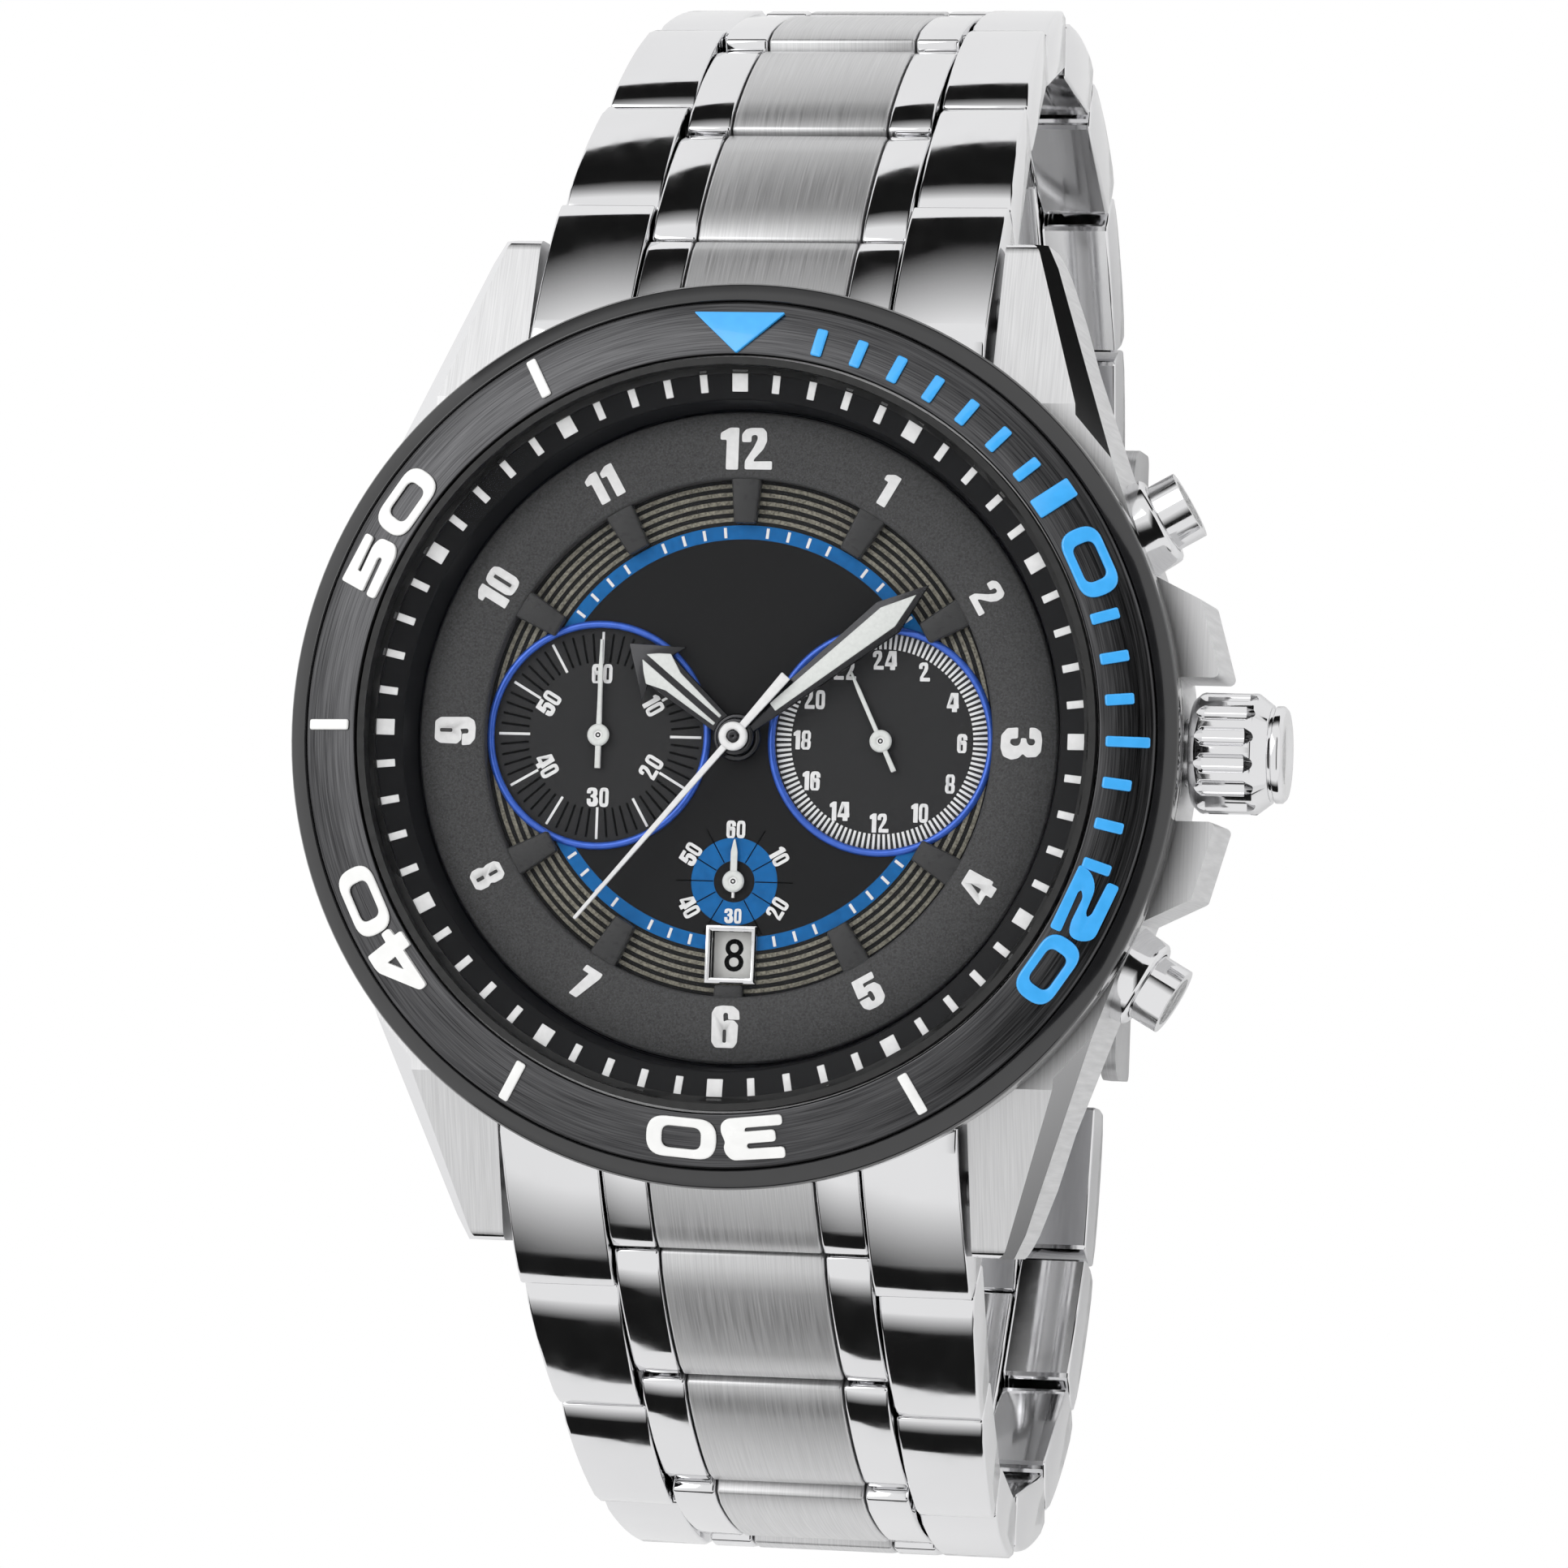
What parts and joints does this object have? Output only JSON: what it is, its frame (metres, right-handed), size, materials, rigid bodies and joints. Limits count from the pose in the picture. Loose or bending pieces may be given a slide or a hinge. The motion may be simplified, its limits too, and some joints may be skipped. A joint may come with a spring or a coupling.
{
  "type": "dive watch",
  "caption": "Steel dive chronograph with a turning bezel, crown, pushers and a link bracelet closed in a loop by a folding push-button clasp.",
  "frame": {"origin": "on the dial's axis, at the flat outer face of the clasp that the closed watch stands on", "axes": "+Z out of the dial, +Y towards the twelve o'clock lugs, +X towards the crown"},
  "size_m": [0.0495, 0.0836, 0.0606],
  "materials": {
    "case_steel": "brushed tops, polished flanks",
    "link_steel": "polished outer rows, brushed centre row",
    "clasp_steel": "brushed",
    "polished_steel": "mirror polished",
    "bezel_black": "black plated, polished rim",
    "insert_black": "black, circular brushed",
    "sapphire": "clear",
    "seal_rubber": "matt",
    "chapter_black": "satin",
    "dial_black": "matt lacquer",
    "hour_ring_grey": "grained",
    "subdial_blue": "metallic gloss",
    "movement_brass": "satin",
    "coil_copper": "wound wire",
    "board_green": "matt",
    "hand_frame": "satin dark grey",
    "hand_white": "satin white",
    "date_white": "matt"
  },
  "bodies": {
    "case": {"case_body": "case_steel", "case_back": "case_steel", "case_back_gasket": "seal_rubber", "crystal": "sapphire", "crystal_gasket": "seal_rubber", "chapter_ring": "chapter_black", "dial_plate": "dial_black", "dial_hour_ring": "hour_ring_grey", "subdial_rims": "subdial_blue", "date_frame": "polished_steel", "movement_plate": "movement_brass", "movement_bridge": "movement_brass", "bridge_screws": "polished_steel", "battery_cell": "polished_steel", "motor_coils": "coil_copper", "circuit_board": "board_green", "crown_tube": "case_steel", "pusher_tubes": "polished_steel", "bezel_click_spring": "polished_steel", "bezel_retaining_wire": "polished_steel", "lug_spring_bars": "clasp_steel", "end_link_12": "link_steel", "end_link_6": "link_steel"},
    "bezel": {"bezel_ring": "bezel_black", "bezel_insert": "insert_black"},
    "hour": {"hour_hand": "hand_frame", "hour_wheel": "movement_brass"},
    "minute": {"minute_hand": "hand_frame", "minute_wheel": "movement_brass"},
    "chrono": {"chrono_seconds_hand": "hand_white", "chrono_wheel": "movement_brass"},
    "small_seconds": {"small_seconds_hand": "hand_white"},
    "minute_counter": {"minute_counter_hand": "hand_white"},
    "day_hour": {"day_hour_hand": "hand_white"},
    "date": {"date_disc": "date_white"},
    "stem_slider": {"stem_slider": "polished_steel"},
    "crown": {"crown": "polished_steel", "crown_stem": "polished_steel"},
    "pusher_upper": {"pusher_upper": "polished_steel"},
    "pusher_lower": {"pusher_lower": "polished_steel"},
    "link_12_1": {"link_12_1": "link_steel"},
    "link_12_2": {"link_12_2": "link_steel"},
    "link_12_3": {"link_12_3": "link_steel"},
    "link_12_4": {"link_12_4": "link_steel"},
    "link_12_5": {"link_12_5": "link_steel"},
    "link_12_6": {"link_12_6": "link_steel"},
    "link_12_7": {"link_12_7": "link_steel"},
    "link_6_1": {"link_6_1": "link_steel"},
    "link_6_2": {"link_6_2": "link_steel"},
    "link_6_3": {"link_6_3": "link_steel"},
    "link_6_4": {"link_6_4": "link_steel"},
    "link_6_5": {"link_6_5": "link_steel"},
    "link_6_6": {"link_6_6": "link_steel"},
    "link_6_7": {"link_6_7": "link_steel"},
    "clasp_cover": {"clasp_cover": "clasp_steel"},
    "clasp_inner_blade": {"clasp_inner_blade": "clasp_steel"},
    "clasp_outer_blade": {"clasp_outer_blade": "clasp_steel"},
    "clasp_button_left": {"clasp_button_left": "clasp_steel"},
    "clasp_button_right": {"clasp_button_right": "clasp_steel"}
  },
  "joints": [
    {"name": "bezel_turn", "type": "hinge", "parent": "case", "child": "bezel", "pos_m": [0, 0, 0.05614], "axis": [0, 0, 1], "continuous": true},
    {"name": "minute_turn", "type": "hinge", "parent": "case", "child": "minute", "pos_m": [0, 0, 0.05614], "axis": [0, 0, 1], "continuous": true},
    {"name": "hour_turn", "type": "hinge", "parent": "case", "child": "hour", "pos_m": [0, 0, 0.05614], "axis": [0, 0, 1], "continuous": true},
    {"name": "day_hour_turn", "type": "hinge", "parent": "case", "child": "day_hour", "pos_m": [0.0072, 0, 0.05614], "axis": [0, 0, 1], "continuous": true},
    {"name": "chrono_turn", "type": "hinge", "parent": "case", "child": "chrono", "pos_m": [0, 0, 0.05614], "axis": [0, 0, 1], "continuous": true},
    {"name": "minute_counter_turn", "type": "hinge", "parent": "case", "child": "minute_counter", "pos_m": [-0.0072, 0, 0.05614], "axis": [0, 0, 1], "continuous": true},
    {"name": "small_seconds_turn", "type": "hinge", "parent": "case", "child": "small_seconds", "pos_m": [0, -0.00715, 0.05614], "axis": [0, 0, 1], "continuous": true},
    {"name": "date_turn", "type": "hinge", "parent": "case", "child": "date", "pos_m": [0, 0, 0.05614], "axis": [0, 0, 1], "continuous": true},
    {"name": "stem_pull", "type": "slide", "parent": "case", "child": "stem_slider", "axis": [1, 0, 0], "range_m": [0, 0.001]},
    {"name": "crown_turn", "type": "hinge", "parent": "stem_slider", "child": "crown", "pos_m": [0.0224, 0, 0.05254], "axis": [1, 0, 0], "continuous": true},
    {"name": "pusher_upper_press", "type": "slide", "parent": "case", "child": "pusher_upper", "axis": [-0.8686, -0.4955, 0], "range_m": [0, 0.001], "stiffness_N_per_m": 2000, "springref_m": -0.001},
    {"name": "pusher_lower_press", "type": "slide", "parent": "case", "child": "pusher_lower", "axis": [-0.8686, 0.4955, 0], "range_m": [0, 0.001], "stiffness_N_per_m": 2000, "springref_m": -0.001},
    {"name": "link_12_1_hinge", "type": "hinge", "parent": "case", "child": "link_12_1", "pos_m": [0, 0.02575, 0.04963], "axis": [1, 0, 0], "range_deg": [0, 10]},
    {"name": "link_12_2_hinge", "type": "hinge", "parent": "link_12_1", "child": "link_12_2", "pos_m": [0, 0.03215, 0.04323], "axis": [1, 0, 0], "range_deg": [0, 9]},
    {"name": "link_12_3_hinge", "type": "hinge", "parent": "link_12_2", "child": "link_12_3", "pos_m": [0, 0.03747, 0.03591], "axis": [1, 0, 0], "range_deg": [0, 20]},
    {"name": "link_12_4_hinge", "type": "hinge", "parent": "link_12_3", "child": "link_12_4", "pos_m": [0, 0.03996, 0.02721], "axis": [1, 0, 0], "range_deg": [0, 22]},
    {"name": "link_12_5_hinge", "type": "hinge", "parent": "link_12_4", "child": "link_12_5", "pos_m": [0, 0.03902, 0.01821], "axis": [1, 0, 0], "range_deg": [0, 24]},
    {"name": "link_12_6_hinge", "type": "hinge", "parent": "link_12_5", "child": "link_12_6", "pos_m": [0, 0.03449, 0.01037], "axis": [1, 0, 0], "range_deg": [0, 25]},
    {"name": "link_12_7_hinge", "type": "hinge", "parent": "link_12_6", "child": "link_12_7", "pos_m": [0, 0.02708, 0.00518], "axis": [1, 0, 0], "range_deg": [0, 23]},
    {"name": "link_6_1_hinge", "type": "hinge", "parent": "case", "child": "link_6_1", "pos_m": [0, -0.02575, 0.04963], "axis": [-1, 0, 0], "range_deg": [0, 10]},
    {"name": "link_6_2_hinge", "type": "hinge", "parent": "link_6_1", "child": "link_6_2", "pos_m": [0, -0.03215, 0.04323], "axis": [-1, 0, 0], "range_deg": [0, 9]},
    {"name": "link_6_3_hinge", "type": "hinge", "parent": "link_6_2", "child": "link_6_3", "pos_m": [0, -0.03747, 0.03591], "axis": [-1, 0, 0], "range_deg": [0, 20]},
    {"name": "link_6_4_hinge", "type": "hinge", "parent": "link_6_3", "child": "link_6_4", "pos_m": [0, -0.03996, 0.02721], "axis": [-1, 0, 0], "range_deg": [0, 22]},
    {"name": "link_6_5_hinge", "type": "hinge", "parent": "link_6_4", "child": "link_6_5", "pos_m": [0, -0.03902, 0.01821], "axis": [-1, 0, 0], "range_deg": [0, 24]},
    {"name": "link_6_6_hinge", "type": "hinge", "parent": "link_6_5", "child": "link_6_6", "pos_m": [0, -0.03449, 0.01037], "axis": [-1, 0, 0], "range_deg": [0, 25]},
    {"name": "link_6_7_hinge", "type": "hinge", "parent": "link_6_6", "child": "link_6_7", "pos_m": [0, -0.02708, 0.00518], "axis": [-1, 0, 0], "range_deg": [0, 23]},
    {"name": "clasp_cover_hinge", "type": "hinge", "parent": "link_12_7", "child": "clasp_cover", "pos_m": [0, 0.01823, 0.0033], "axis": [1, 0, 0], "range_deg": [0, 12]},
    {"name": "inner_blade_hinge", "type": "hinge", "parent": "clasp_cover", "child": "clasp_inner_blade", "pos_m": [0, -0.01423, 0.0021], "axis": [1, 0, 0], "range_deg": [0, 80]},
    {"name": "outer_blade_hinge", "type": "hinge", "parent": "clasp_inner_blade", "child": "clasp_outer_blade", "pos_m": [0, 0.01247, 0.0027], "axis": [-1, 0, 0], "range_deg": [0, 100]},
    {"name": "clasp_button_left_press", "type": "slide", "parent": "clasp_cover", "child": "clasp_button_left", "axis": [1, 0, 0], "range_m": [0, 0.0005], "stiffness_N_per_m": 2000, "springref_m": -0.0005},
    {"name": "clasp_button_right_press", "type": "slide", "parent": "clasp_cover", "child": "clasp_button_right", "axis": [-1, 0, 0], "range_m": [0, 0.0005], "stiffness_N_per_m": 2000, "springref_m": -0.0005}
  ],
  "couplings": [
    {"joint": "hour_turn", "follows": "minute_turn", "ratio": 0.083333},
    {"joint": "day_hour_turn", "follows": "minute_turn", "ratio": 0.041667},
    {"joint": "minute_counter_turn", "follows": "chrono_turn", "ratio": 0.016667}
  ]
}
